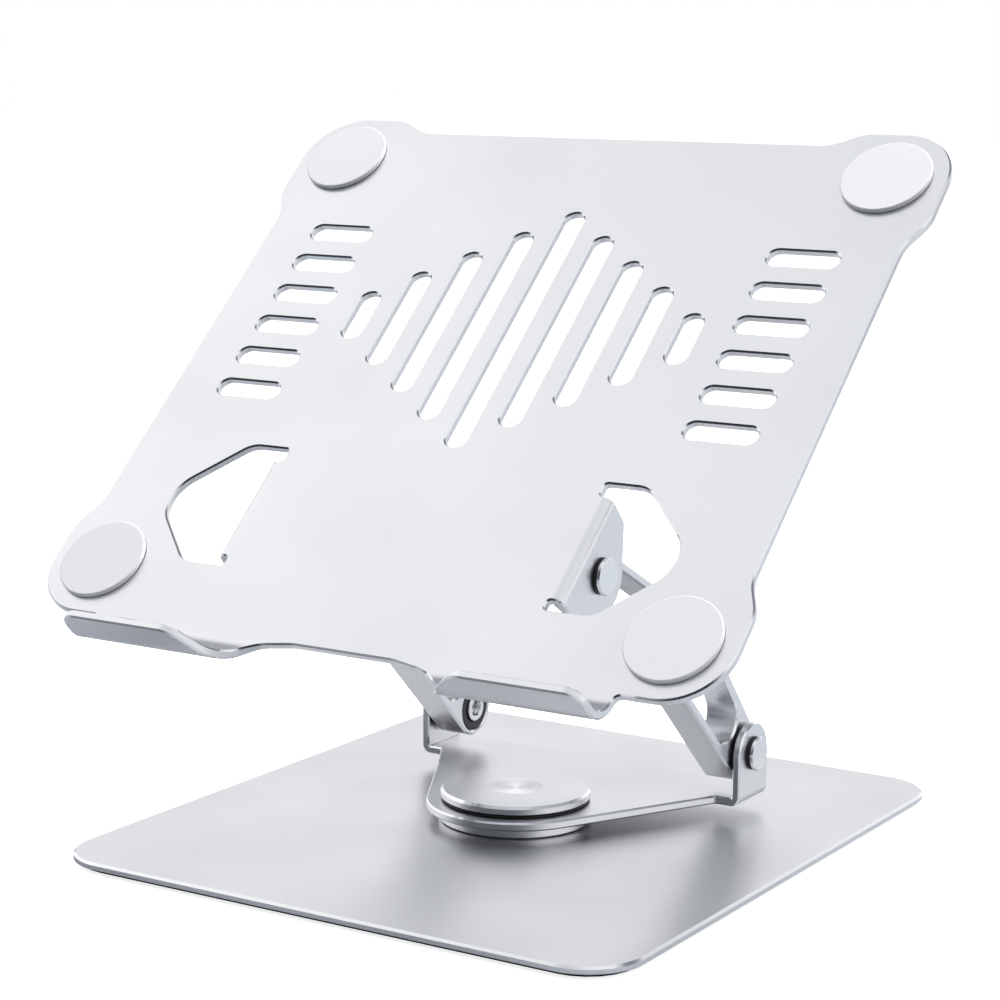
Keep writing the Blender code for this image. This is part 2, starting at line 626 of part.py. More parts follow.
def tray_ear(side, tray):
    """Tab bent down from the edge of a window, trimmed to a rounded point."""
    tip = TRAY_HINGE_BELOW + TRAY_EAR_TIP_RADIUS
    bend = [(EAR_INNER - SHEET, 0, 0), (EAR_OUTER, 0, SHEET), (EAR_OUTER, -2 * tip, 0),
            (EAR_INNER, -2 * tip, 0), (EAR_INNER, -SHEET, 0), (EAR_INNER - SHEET, -SHEET, 0)]
    front = TRAY_HINGE_UP - TRAY_EAR_HALF
    back = TRAY_HINGE_UP + TRAY_EAR_HALF
    profile = rounded([(side * x, y, radius) for x, y, radius in bend], CORNER_STEP)
    tab = hidden(f"tray_ear_{side}", slab(profile, -back, -front), tray, TRAY_TURN @ ALONG_Y)
    point = TRAY_HINGE_BELOW + TRAY_EAR_TIP_RADIUS * math.sqrt(2)
    straight = point - TRAY_EAR_HALF
    outline = rounded([(front - GAP, SHEET, 0), (front - GAP, GAP - straight, 0),
                       (TRAY_HINGE_UP, -point, TRAY_EAR_TIP_RADIUS),
                       (back + GAP, GAP - straight, 0), (back + GAP, SHEET, 0)])
    low, high = sorted((side * (EAR_INNER - 2 * SHEET), side * (EAR_OUTER + SHEET)))
    trim = hidden(f"tray_ear_trim_{side}", slab(outline, low, high), tray,
                  TRAY_TURN @ ALONG_X)
    boolean(tab, trim, "INTERSECT")
    return tab


def tray_lip(side, tray):
    """Hooked lip across the front, one on each side."""
    centre = Vector((LIP_BEND_START, LIP_BEND))
    quarter = -math.pi / 2
    inner = swept(centre, Vector((0, -LIP_BEND)), quarter, ARC_STEP)
    outer = swept(centre, Vector((0, -LIP_BEND - SHEET)), quarter, ARC_STEP)
    face = LIP_BEND_START - LIP_BEND
    root = LIP_BEND_START + SHEET
    profile = [Vector((root, 0)), *inner, Vector((face, LIP_HEIGHT)),
               Vector((face - SHEET, LIP_HEIGHT)), *reversed(outer), Vector((root, -SHEET))]
    low, high = sorted((side * LIP_INNER, side * LIP_OUTER))
    hook = hidden(f"tray_lip_{side}", slab(profile, low, high), tray, TRAY_TURN @ ALONG_X)
    corners = [(LIP_INNER - SHEET, -2 * SHEET, 0), (LIP_OUTER + SHEET, -2 * SHEET, 0),
               (LIP_OUTER + SHEET, LIP_HEIGHT - LIP_CORNER, 0),
               (LIP_OUTER, LIP_HEIGHT - LIP_CORNER, 0), (LIP_OUTER, LIP_HEIGHT + GAP, LIP_CORNER),
               (LIP_SLOPE_TOP, LIP_HEIGHT + GAP, LIP_CORNER),
               (LIP_SLOPE_FOOT, LIP_SLOPE_RISE, SHEET), (LIP_INNER, 0, 0),
               (LIP_INNER - SHEET, 0, 0)]
    outline = rounded([(side * x, y, radius) for x, y, radius in corners])
    reach = LIP_BEND + 2 * SHEET - LIP_BEND_START
    trim = hidden(f"tray_lip_trim_{side}", slab(outline, -root - SHEET, reach), tray,
                  TRAY_TURN @ ALONG_Y)
    boolean(hook, trim, "INTERSECT")
    return hook


def make_tray(finishes, tray):
    holes = tray_slots() + [window_outline(side) for side in (-1, 1)]
    sheet = piece("tray", slab(tray_outline(), -SHEET, 0, holes), finishes["aluminium"],
                  tray, TRAY_TURN)
    for side in (-1, 1):
        boolean(sheet, tray_ear(side, tray), "UNION")
        boolean(sheet, tray_lip(side, tray), "UNION")
    bore = turned([(0, -EAR_OUTER - SHEET), (PIN_HOLE, -EAR_OUTER - SHEET),
                   (PIN_HOLE, EAR_OUTER + SHEET), (0, EAR_OUTER + SHEET)], HIDDEN_SIDES)
    boolean(sheet, hidden("tray_pin_hole", bore, tray, hinge_place(1)), "DIFFERENCE")
    for row, up in (("front", PAD_FRONT), ("back", PAD_BACK)):
        for side_name, side in (("left", -1), ("right", 1)):
            disc = slab(circle(side * PAD_ACROSS, up, PAD_RADIUS, PIN_SIDES), GAP,
                        GAP + PAD_SHEET)
            piece(f"{row}_pad_{side_name}", disc, finishes["silicone"], tray, TRAY_TURN)


def main():
    clear_scene()
    finishes = {
        "aluminium": finish("bead_blasted_aluminium", (0.78, 0.80, 0.83), 0.38, 1.0),
        "bright": finish("bright_metal", (0.88, 0.89, 0.90), 0.2, 1.0),
        "steel": finish("steel", (0.55, 0.55, 0.56), 0.35, 1.0),
        "plastic": finish("black_plastic", (0.02, 0.02, 0.022), 0.5, 0.0),
        "silicone": finish("grey_silicone", (0.62, 0.63, 0.64), 0.7, 0.0),
        "rubber": finish("black_rubber", (0.03, 0.03, 0.03), 0.8, 0.0),
    }
    swivel = pivot("swivel_pivot", (0, 0, BRACKET_UNDER), 0)
    arm = pivot("arm_pivot", (0, HINGE_BACK, HINGE_ABOVE_PLATE), -ARM_ANGLE, swivel)
    tray = pivot("tray_pivot", (0, -ARM_LENGTH, 0), TRAY_TILT + ARM_ANGLE, arm)
    make_base(finishes)
    make_swivel(finishes, swivel)
    make_bracket(finishes, swivel)
    make_tray(finishes, tray)
    lower = Matrix.Translation((0, HINGE_BACK, HINGE_ABOVE_PLATE))
    for side_name, side in (("left", -1), ("right", 1)):
        make_arm(f"arm_{side_name}", side, finishes, arm)
        make_hinge("lower", side_name, side, finishes, swivel, lower, arm, 0)
        make_hinge("upper", side_name, side, finishes, tray, Matrix(), arm, ARM_LENGTH)


main()
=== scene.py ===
# %% [markdown]
# # A silver laptop stand
# The stand is cut from aluminium sheet and bar, bead blasted, anodised, and then given bright
# chamfers with a cutter. Each cell below makes one piece or one finish. The sizes that the
# engineering model already holds are read from it, so nothing here can drift away from it.

# %% Load the frame
import json
import math

import bmesh
import bpy
from mathutils import Matrix, Vector


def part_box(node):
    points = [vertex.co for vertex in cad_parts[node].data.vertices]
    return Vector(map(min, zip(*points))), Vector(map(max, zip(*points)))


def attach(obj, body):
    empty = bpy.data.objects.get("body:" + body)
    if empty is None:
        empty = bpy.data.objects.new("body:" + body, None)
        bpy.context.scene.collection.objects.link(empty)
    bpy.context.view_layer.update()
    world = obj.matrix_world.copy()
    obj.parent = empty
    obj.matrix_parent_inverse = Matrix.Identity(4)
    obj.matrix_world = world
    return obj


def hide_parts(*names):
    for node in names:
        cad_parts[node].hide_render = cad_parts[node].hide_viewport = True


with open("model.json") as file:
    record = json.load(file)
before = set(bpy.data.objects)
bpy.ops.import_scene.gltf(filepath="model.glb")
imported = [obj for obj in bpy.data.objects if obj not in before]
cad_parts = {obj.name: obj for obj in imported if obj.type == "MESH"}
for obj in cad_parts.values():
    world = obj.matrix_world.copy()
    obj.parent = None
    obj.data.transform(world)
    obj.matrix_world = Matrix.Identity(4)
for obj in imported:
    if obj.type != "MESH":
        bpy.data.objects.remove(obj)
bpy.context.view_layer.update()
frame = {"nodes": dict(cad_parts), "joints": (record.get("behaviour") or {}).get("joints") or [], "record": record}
MM = 0.001

# %% [markdown]
# The two hinge axes and the tilt of the tray come from the model's joints and from the face that
# the laptop rests on. From them we make two local frames: one that lies along the arms, and one
# that lies on the tray, with X across, Y up the slope and Z out of the top face.

# %% Local frames of the arms and of the tray
joints = {joint["name"]: joint for joint in frame["joints"]}
mounts = {mount["name"]: mount for mount in frame["record"]["mounts"]}
lower_hinge = Vector(joints["arm_lift"]["pos_m"])
upper_hinge = Vector(joints["tray_tilt"]["pos_m"])
rest_axis = Vector(mounts["laptop_rest"]["axis"])
arm_line = upper_hinge - lower_hinge
ARM_LENGTH = arm_line.length
arm_angle = math.atan2(arm_line.z, -arm_line.y)
tray_tilt = math.atan2(-rest_axis.y, rest_axis.z)
HINGE_UP = 30.1 * MM
HINGE_BELOW = 14 * MM
ON_LOWER_HINGE = Matrix.Translation(lower_hinge)
ON_ARM = ON_LOWER_HINGE @ Matrix.Rotation(-arm_angle, 4, "X")
ON_UPPER_HINGE = Matrix.Translation(upper_hinge) @ Matrix.Rotation(tray_tilt, 4, "X")
ON_TRAY = ON_UPPER_HINGE @ Matrix.Translation((0, -HINGE_UP, HINGE_BELOW))
ALONG_X = Matrix(((0, 0, 1, 0), (1, 0, 0, 0), (0, 1, 0, 0), (0, 0, 0, 1)))
print(f"arm {ARM_LENGTH * 1000:.1f} mm at {math.degrees(arm_angle):.1f} degrees,",
      f"tray at {math.degrees(tray_tilt):.1f} degrees")

# %% [markdown]
# ## Outlines
# Every flat piece starts as an outline with round corners. `rounded` puts an arc into each corner,
# and `belt` runs a line around a row of circles, which suits a bent arm. Writing the arcs as
# formulas keeps the edges true curves at any fineness.

# %% Outlines with true arcs
ARC_STEP = math.radians(5)


def swept(centre, spoke, turn, step=ARC_STEP):
    """Points of an arc that carries a spoke around a centre."""
    count = max(1, math.ceil(abs(turn) / step - 1e-6))
    return [centre + Matrix.Rotation(turn * i / count, 2) @ spoke for i in range(count + 1)]


def rounded(corners):
    """Closed outline through (x, y, radius) corners."""
    outline = []
    for index, (x, y, radius) in enumerate(corners):
        corner = Vector((x, y))
        if radius == 0:
            outline.append(corner)
            continue
        following = corners[(index + 1) % len(corners)]
        before = (Vector(corners[index - 1][:2]) - corner).normalized()
        after = (Vector(following[:2]) - corner).normalized()
        half = before.angle(after) / 2
        centre = corner + (before + after).normalized() * radius / math.sin(half)
        reach = radius / math.tan(half)
        start = corner + before * reach - centre
        end = corner + after * reach - centre
        outline += swept(centre, start, math.atan2(start.cross(end), start.dot(end)))
    return outline


def belt(circles):
    """Closed outline around (x, y, radius) circles; a negative radius is one outside it."""
    headings = []
    for index, here in enumerate(circles):
        there = circles[(index + 1) % len(circles)]
        way = Vector(there[:2]) - Vector(here[:2])
        headings.append(math.atan2(way.y, way.x) + math.asin((here[2] - there[2]) / way.length))
    outline = []
    for index, (x, y, radius) in enumerate(circles):
        arriving = headings[index - 1]
        turn = (headings[index] - arriving) % math.tau - (math.tau if radius < 0 else 0)
        spoke = Vector((math.sin(arriving), -math.cos(arriving))) * radius
        outline += swept(Vector((x, y)), spoke, turn)
    return outline


def circle(x, y, radius, sides=72):
    """Round outline."""
    turns = [math.tau * i / sides for i in range(sides)]
    return [Vector((x + radius * math.cos(a), y + radius * math.sin(a))) for a in turns]


print("a circle has", len(circle(0, 0, 1)), "points")

# %% [markdown]
# ## Sheet metal
# A plate is a stack of rings that follow its outline. Between two rings of different size lies a
# chamfer, and that strip gets the second, polished material. The flat faces are filled between the
# outer ring and the holes' rings. Made this way, every slot has its own bright chamfer, which a
# Bevel modifier would break where many edges meet.

# %% Plates with polished chamfers
SATIN, POLISHED = 0, 1


def facing(loop, anticlockwise):
    """The loop, turned round if it runs the other way."""
    area = sum(a.cross(b) for a, b in zip(loop, loop[1:] + loop[:1]))
    return loop if (area > 0) == anticlockwise else loop[::-1]


def inset(loop, depth):
    """The loop moved to its left, which is into the material."""
    moved = []
    for index, point in enumerate(loop):
        before = (point - loop[index - 1]).normalized()
        after = (loop[(index + 1) % len(loop)] - point).normalized()
        side = Vector((-before.y - after.y, before.x + after.x))
        moved.append(point + side * depth / (1 + before.dot(after)))
    return moved


def chamfered(low, high, chamfer):
    """Ring heights and insets of a rim with a chamfer on both faces."""
    return [(low, chamfer), (low + chamfer, 0), (high - chamfer, 0), (high, chamfer)]


def plate(outline, holes, rims):
    """Closed plate. rims gives each loop its (height, inset) rings from low to high."""
    bm = bmesh.new()
    edges = {0: [], -1: []}
    for index, (loop, levels) in enumerate(zip([outline, *holes], rims)):
        loop = facing(loop, index == 0)
        rings = []
        for height, depth in levels:
            rings.append([bm.verts.new((*point, height)) for point in inset(loop, depth)])
        for number, (under, over) in enumerate(zip(rings, rings[1:])):
            rise = levels[number + 1][0] - levels[number][0]
            slope = abs(levels[number + 1][1] - levels[number][1])
            for i in range(len(loop)):
                face = bm.faces.new((under[i - 1], under[i], over[i], over[i - 1]))
                face.material_index = POLISHED if slope > 0 and rise > 0 else SATIN
        for end in edges:
            ring = rings[end]
            edges[end] += [bm.edges.get((ring[i - 1], ring[i])) for i in range(len(ring))]
    for rim in edges.values():
        bmesh.ops.triangle_fill(bm, edges=rim, use_beauty=True)
    bmesh.ops.recalc_face_normals(bm, faces=bm.faces)
    return bm


print("plates ready")

# %% [markdown]
# Ears and lips are not separate parts: they are bent out of the same sheet. So we cut the flat
# pattern first and then bend it, as a press brake does. The mesh is cut across the bend into
# narrow strips, and each strip is turned about the bend's centre, so the chamfers run round the
# bend without a seam.

# %% Bending a flat pattern
BEND_STRIPS = 10


def inside(x, y, outline):
    """Whether a point lies inside an outline."""
    crossings = 0
    for a, b in zip(outline, outline[1:] + outline[:1]):
        if (a.y > y) != (b.y > y) and x < a.x + (y - a.y) * (b.x - a.x) / (b.y - a.y):
            crossings += 1
    return crossings % 2 == 1


def bend_width(low, high, radius):
    """Flat length that a right-angled bend takes up."""
    return math.pi / 2 * (radius + (high - low) / 2)


def bend(bm, heading, start, low, high, radius, up, tab):
    """Bends the part of a sheet that lies inside the tab outline by a right angle."""
    width = bend_width(low, high, radius)
    for strip in range(BEND_STRIPS + 1):
        place = heading * (start + width * strip / BEND_STRIPS)
        bmesh.ops.bisect_plane(bm, geom=bm.verts[:] + bm.edges[:] + bm.faces[:], dist=1e-7,
                               plane_co=(*place, 0), plane_no=(*heading, 0))
    sense = 1 if up else -1
    pivot_height = high + radius if up else low - radius
    for vert in bm.verts:
        past = vert.co.xy.dot(heading) - start
        if past <= 1e-7 or not inside(vert.co.x, vert.co.y, tab):
            continue
        arm = (pivot_height - vert.co.z) * sense
        turn = min(past / width, 1) * math.pi / 2
        straight = max(0, past - width)
        shift = heading * (arm * math.sin(turn) - past)
        vert.co.x += shift.x
        vert.co.y += shift.y
        vert.co.z = pivot_height - sense * (arm * math.cos(turn) - straight)
    return bm


print("a 3 mm sheet bent tight takes", round(bend_width(0, 3, 0.5), 2), "mm")

# %% [markdown]
# ## Turned pieces
# Discs, pins and bushes are turned on a lathe. A closed outline of radius and height points is
# carried round the axis. Any strip named in `bright` is polished.

# %% Turned bodies
def turned(profile, bright=(), sides=96):
    """Body turned about +Z from a closed outline of (radius, height) points."""
    bm = bmesh.new()
    rings = []
    for radius, height in profile:
        points = circle(0, 0, radius, sides) if radius else [Vector((0, 0))]
        rings.append([bm.verts.new((*point, height)) for point in points])
    for number, (under, over) in enumerate(zip(rings, rings[1:] + rings[:1])):
        if len(under) == len(over) == 1:
            continue
        for i in range(sides):
            around = [under[(i - 1) % len(under)], under[i % len(under)],
                      over[i % len(over)], over[(i - 1) % len(over)]]
            face = bm.faces.new(list(dict.fromkeys(around)))
            face.material_index = POLISHED if number in bright else SATIN
    bmesh.ops.recalc_face_normals(bm, faces=bm.faces)
    return bm


def shown(name, bm, finishes, body, nodes, turn=Matrix()):
    """Puts a body into the scene in place of the CAD nodes that it stands for."""
    bmesh.ops.transform(bm, matrix=turn, verts=bm.verts)
    mesh = bpy.data.meshes.new(name)
    bm.to_mesh(mesh)
    bm.free()
    for finish in finishes:
        mesh.materials.append(finish)
    mesh.shade_smooth()
    mesh.set_sharp_from_angle(angle=math.radians(28))
    obj = bpy.data.objects.new(name, mesh)
    bpy.context.collection.objects.link(obj)
    weighted = obj.modifiers.new("even shading", "WEIGHTED_NORMAL")
    weighted.keep_sharp = True
    weighted.weight = 100
    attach(obj, body)
    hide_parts(*nodes)
    print(name, len(mesh.polygons), "faces on", body)
    return obj


# %% [markdown]
# ## Finishes
# Bead blasting leaves thousands of tiny dents. We see them as a soft grain in the highlights and
# as a faint sparkle near grazing light. The grain is used by the blasted aluminium, by the
# silicone and by the moulded plastic, so it is one node group with its own values in each.

# %% Grain shared by the blasted, moulded and silicone finishes
def new_group(name, inputs, outputs):
    """Shader node group with named float inputs and named outputs."""
    group = bpy.data.node_groups.new(name, "ShaderNodeTree")
    for label, default in inputs:
        socket = group.interface.new_socket(label, in_out="INPUT", socket_type="NodeSocketFloat")
        socket.default_value = default
    for label, kind in outputs:
        group.interface.new_socket(label, in_out="OUTPUT", socket_type=kind)
    return group, group.nodes.new("NodeGroupInput"), group.nodes.new("NodeGroupOutput")


def noise(tree, coordinates, scale, detail, roughness=0.5):
    """Noise in the object's own metres; scale may be a number or a socket."""
    node = tree.nodes.new("ShaderNodeTexNoise")
    node.inputs["Detail"].default_value = detail
    node.inputs["Roughness"].default_value = roughness
    tree.links.new(coordinates, node.inputs["Vector"])
    if isinstance(scale, (int, float)):
        node.inputs["Scale"].default_value = scale
    else:
        tree.links.new(scale, node.inputs["Scale"])
    return node.outputs["Fac"]


def spread(tree, value, low, high):
    """Maps the middle of a noise to a range between two numbers or sockets."""
    node = tree.nodes.new("ShaderNodeMapRange")
    node.inputs["From Min"].default_value = 0.3
    node.inputs["From Max"].default_value = 0.7
    tree.links.new(value, node.inputs["Value"])
    for label, end in (("To Min", low), ("To Max", high)):
        if isinstance(end, (int, float)):
            node.inputs[label].default_value = end
        else:
            tree.links.new(end, node.inputs[label])
    return node.outputs["Result"]


def grain_group():
    """Fine dents, with a roughness that drifts slowly over the surface."""
    group, given, result = new_group(
        "fine grain",
        [("Grain Scale", 4000), ("Roughness Low", 0.3), ("Roughness High", 0.4)],
        [("Height", "NodeSocketFloat"), ("Roughness", "NodeSocketFloat"),
         ("Cloud", "NodeSocketFloat")])
    where = group.nodes.new("ShaderNodeTexCoord").outputs["Object"]
    dents = noise(group, where, given.outputs["Grain Scale"], 3, 0.6)
    cloud = noise(group, where, 18, 2)
    rough = spread(group, cloud, given.outputs["Roughness Low"], given.outputs["Roughness High"])
    group.links.new(dents, result.inputs["Height"])
    group.links.new(rough, result.inputs["Roughness"])
    group.links.new(cloud, result.inputs["Cloud"])
    return group


GRAIN = grain_group()
print(GRAIN.name, [item.name for item in GRAIN.interface.items_tree])

# %% [markdown]
# A finish then needs few nodes: the grain's height goes through a Bump node, its roughness goes to
# the shader, and its slow cloud mixes two nearly equal colours. What is the same all over, such
# as the metallic value, is set on the shader's own socket.

# %% A finish made of grain
def grained(name, light, dark, grain_scale, rough, dent, metallic=0.0):
    """Principled material whose colour, roughness and relief come from the grain group."""
    material = bpy.data.materials.new(name)
    material.use_nodes = True
    tree = material.node_tree
    shader = tree.nodes["Principled BSDF"]
    shader.inputs["Metallic"].default_value = metallic
    grain = tree.nodes.new("ShaderNodeGroup")
    grain.node_tree = GRAIN
    grain.inputs["Grain Scale"].default_value = grain_scale
    grain.inputs["Roughness Low"].default_value = rough[0]
    grain.inputs["Roughness High"].default_value = rough[1]
    ramp = tree.nodes.new("ShaderNodeMix")
    ramp.data_type = "RGBA"
    ramp.inputs["A"].default_value = (*dark, 1)
    ramp.inputs["B"].default_value = (*light, 1)
    bump = tree.nodes.new("ShaderNodeBump")
    bump.inputs["Strength"].default_value = 1.0
    bump.inputs["Distance"].default_value = dent
    tree.links.new(grain.outputs["Cloud"], ramp.inputs["Factor"])
    tree.links.new(ramp.outputs["Result"], shader.inputs["Base Color"])
    tree.links.new(grain.outputs["Roughness"], shader.inputs["Roughness"])
    tree.links.new(grain.outputs["Height"], bump.inputs["Height"])
    tree.links.new(bump.outputs["Normal"], shader.inputs["Normal"])
    return material


blasted = grained("bead blasted aluminium", (0.90, 0.905, 0.915), (0.86, 0.868, 0.882),
                  5200, (0.29, 0.36), 0.000012, metallic=1.0)
silicone = grained("grey silicone", (0.94, 0.94, 0.945), (0.90, 0.90, 0.91),
                   3600, (0.62, 0.74), 0.00003)
black_plastic = grained("black moulded plastic", (0.022, 0.022, 0.025), (0.014, 0.014, 0.016),
                        2600, (0.38, 0.5), 0.00002)
mat_rubber = grained("anti-slip rubber", (0.035, 0.035, 0.037), (0.024, 0.024, 0.026),
                     1800, (0.7, 0.85), 0.00004)
print("grained finishes:", blasted.name, silicone.name, black_plastic.name, mat_rubber.name)

# %% [markdown]
# A chamfer cut with a sharp diamond tool is almost a mirror, and so are the turned faces of the
# pins. What keeps them from looking like plain chrome is a trace of the tool: fine lines that
# follow the cut. On the turned pieces the lines are rings about the axis. One group makes both:
# it takes a distance and turns it into thin waves.

# %% Tool marks shared by the polished finishes
def tool_mark_group():
    """Fine waves along a distance, and the roughness that they bring."""
    group, given, result = new_group(
        "tool marks",
        [("Distance", 0.0), ("Pitch", 0.0002), ("Roughness Low", 0.08),
         ("Roughness High", 0.16)],
        [("Height", "NodeSocketFloat"), ("Roughness", "NodeSocketFloat")])
    turns = group.nodes.new("ShaderNodeMath")
    turns.operation = "DIVIDE"
    group.links.new(given.outputs["Distance"], turns.inputs[0])
    group.links.new(given.outputs["Pitch"], turns.inputs[1])
    line = group.nodes.new("ShaderNodeTexNoise")
    line.noise_dimensions = "1D"
    line.inputs["Scale"].default_value = 1.0
    line.inputs["Detail"].default_value = 2
    group.links.new(turns.outputs["Value"], line.inputs["W"])
    rough = spread(group, line.outputs["Fac"], given.outputs["Roughness Low"],
                   given.outputs["Roughness High"])
    group.links.new(line.outputs["Fac"], result.inputs["Height"])
    group.links.new(rough, result.inputs["Roughness"])
    return group


TOOL_MARKS = tool_mark_group()
print(TOOL_MARKS.name, "made")

# %% [markdown]
# The distance that feeds the marks decides their pattern. For a straight cut it is one coordinate.
# For a turned face it is the distance from the axis, which we measure with a Vector Math node, in
# the plane at right angles to the axis.

# %% Polished and turned metal
def polished(name, colour, centre, across, pitch, rough, relief, anisotropy=0.0):
    """Bright metal with marks at equal distances from a line through a centre."""
    material = bpy.data.materials.new(name)
    material.use_nodes = True
    tree = material.node_tree
    shader = tree.nodes["Principled BSDF"]
    shader.inputs["Metallic"].default_value = 1.0
    shader.inputs["Base Color"].default_value = (*colour, 1)
    shader.inputs["Anisotropic"].default_value = anisotropy
    where = tree.nodes.new("ShaderNodeTexCoord").outputs["Object"]
    from_centre = tree.nodes.new("ShaderNodeVectorMath")
    from_centre.operation = "SUBTRACT"
    from_centre.inputs[1].default_value = centre
    tree.links.new(where, from_centre.inputs[0])
    flat = tree.nodes.new("ShaderNodeVectorMath")
    flat.operation = "MULTIPLY"
    flat.inputs[1].default_value = across
    tree.links.new(from_centre.outputs["Vector"], flat.inputs[0])
    distance = tree.nodes.new("ShaderNodeVectorMath")
    distance.operation = "LENGTH"
    tree.links.new(flat.outputs["Vector"], distance.inputs[0])
    marks = tree.nodes.new("ShaderNodeGroup")
    marks.node_tree = TOOL_MARKS
    marks.inputs["Pitch"].default_value = pitch
    marks.inputs["Roughness Low"].default_value = rough[0]
    marks.inputs["Roughness High"].default_value = rough[1]
    tree.links.new(distance.outputs["Value"], marks.inputs["Distance"])
    tree.links.new(marks.outputs["Roughness"], shader.inputs["Roughness"])
    bump = tree.nodes.new("ShaderNodeBump")
    bump.inputs["Distance"].default_value = relief
    tree.links.new(marks.outputs["Height"], bump.inputs["Height"])
    tree.links.new(bump.outputs["Normal"], shader.inputs["Normal"])
    if anisotropy:
        tangent = tree.nodes.new("ShaderNodeTangent")
        tangent.direction_type = "RADIAL"
        tangent.axis = "Z"
        tree.links.new(tangent.outputs["Tangent"], shader.inputs["Tangent"])
    return material


BRIGHT = (0.93, 0.935, 0.94)
cut_edge = polished("diamond cut edge", BRIGHT, (0, 0, 0), (1, 1, 1), 0.0004, (0.10, 0.18),
                    0.000001)
spun_face = polished("spun cap face", (0.90, 0.905, 0.91), (0, 0, 0), (1, 1, 0), 0.00022,
                     (0.20, 0.30), 0.0000015, anisotropy=0.85)
pin_faces = {}
for level, place in (("lower", lower_hinge), ("upper", upper_hinge)):
    pin_faces[level] = polished(f"turned {level} pin", BRIGHT, place, (0, 1, 1), 0.00025,
                                (0.14, 0.22), 0.000002)
print("polished finishes:", cut_edge.name, spun_face.name, sorted(pin_faces))

# %% [markdown]
# ## The base
# The base is one heavy plate with round corners and a bright chamfer round its top edge. It is
# heavy so that the tray can reach out over the front without tipping. Under it lies a thin mat.

# %% Base plate
CHAMFER = 0.55 * MM
base_low, base_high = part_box("base_plate")
BASE_CORNER = 20 * MM
x, y = base_high.x, base_high.y
FOOT_EDGE = 0.3 * MM
TOP_EDGE = 0.8 * MM
SCREW_HOLE = 1.8 * MM
SINK_DEPTH = 1.6 * MM
SMALL_HOLE_SIDES = 36
corners = [(-x, -y), (x, -y), (x, y), (-x, y)]
outline = rounded([(a, b, BASE_CORNER) for a, b in corners])
rim = [(base_low.z, FOOT_EDGE), (base_low.z + FOOT_EDGE, 0), (base_high.z - TOP_EDGE, 0),
       (base_high.z, TOP_EDGE)]
screw_holes = []
for number in (1, 2, 3):
    screw_low, screw_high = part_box(f"hub_screw_{number}")
    middle = (screw_low + screw_high) / 2
    screw_holes.append(circle(middle.x, middle.y, SCREW_HOLE, SMALL_HOLE_SIDES))
sink = [(base_low.z, SINK_DEPTH), (base_low.z + SINK_DEPTH, 0), (base_high.z, 0)]
shown("base_plate_shell", plate(outline, screw_holes, [rim] + [sink] * 3),
      [blasted, cut_edge], "base", ["base_plate"])
frame["nodes"]["base_mat"].data.materials[0] = mat_rubber
print("base plate", round(x * 2000, 1), "x", round(y * 2000, 1), "mm")

# %% [markdown]
# ## The swivel
# Four discs are stacked on the middle of the base: a spacer, the bracket's nose, a dark washer and
# a cap. The cap's top is turned: a shallow dish in its middle was spun with the tool moving
# outward, so it throws the light back as two bright wedges. The shader's anisotropy does this.

# %% Hub, washers and cap
hub_low, hub_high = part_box("swivel_hub")
cap_low, cap_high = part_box("swivel_cap")
boss = 12 * MM
bolt_bore = 3.3 * MM
GAP = 0.3 * MM
WASHER_BORE = boss + GAP
HEAD_POCKET = 5.8 * MM
HEAD_DEPTH = 1.7 * MM
hub_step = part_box("lower_swivel_washer")[0].z - GAP
hub_edge = 0.4 * MM
groove_near, groove_far, groove_depth = 17.2 * MM, 20.8 * MM, 2.3 * MM
hub_profile = [(HEAD_POCKET, hub_low.z), (groove_near, hub_low.z),
               (groove_near, hub_low.z + groove_depth), (groove_far, hub_low.z + groove_depth),
               (groove_far, hub_low.z),
               (hub_high.x - hub_edge, hub_low.z), (hub_high.x, hub_low.z + hub_edge),
               (hub_high.x, hub_step - hub_edge), (hub_high.x - hub_edge, hub_step),
               (boss, hub_step), (boss, hub_high.z), (bolt_bore, hub_high.z),
               (bolt_bore, hub_low.z + HEAD_DEPTH), (HEAD_POCKET, hub_low.z + HEAD_DEPTH)]
shown("swivel_hub_turned", turned(hub_profile, bright=(5, 7)), [blasted, cut_edge], "base",
      ["swivel_hub"])
DIMPLE = 9.5 * MM
DIMPLE_DEPTH = 0.5 * MM
cap_edge = 0.9 * MM
DISH_STEPS = 8
dish = [(DIMPLE * (1 - i / DISH_STEPS),
         cap_high.z - DIMPLE_DEPTH * math.sin(math.pi / 2 * i / DISH_STEPS))
        for i in range(DISH_STEPS + 1)]
under = cap_low.z
bolt_top = under + 1.8 * MM
spring_near, spring_far, spring_top = 13.2 * MM, 19.8 * MM, under + 1.2 * MM
cap_profile = [(0, bolt_top), (bolt_bore, bolt_top), (bolt_bore, under),
               (spring_near, under), (spring_near, spring_top), (spring_far, spring_top),
               (spring_far, under), (cap_high.x - cap_edge / 3, under),
               (cap_high.x, under + cap_edge / 3), (cap_high.x, cap_high.z - cap_edge),
               (cap_high.x - cap_edge, cap_high.z)] + dish
cap = turned(cap_profile, bright=(7, 9))
for face in cap.faces:
    if face.calc_center_median().xy.length < DIMPLE and face.normal.z > 0.5:
        face.material_index = 2
shown("swivel_cap_turned", cap, [blasted, cut_edge, spun_face], "base", ["swivel_cap"])
for name, body in (("lower_swivel_washer", "base"), ("upper_swivel_washer", "turntable")):
    low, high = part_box(name)
    disc = turned([(WASHER_BORE, low.z), (high.x, low.z), (high.x, high.z), (WASHER_BORE, high.z)])
    shown(f"{name}_ring", disc, [black_plastic], body, [name])
print("cap", round(cap_high.x * 2000, 1), "mm across")

# %% [markdown]
# ## The bracket
# The bracket is one piece of 3 mm sheet: a nose that turns on the swivel, and an ear bent up on
# each side to hold an arm. We cut its flat pattern with the ears laid out sideways, chamfer it,
# and bend both ears up.

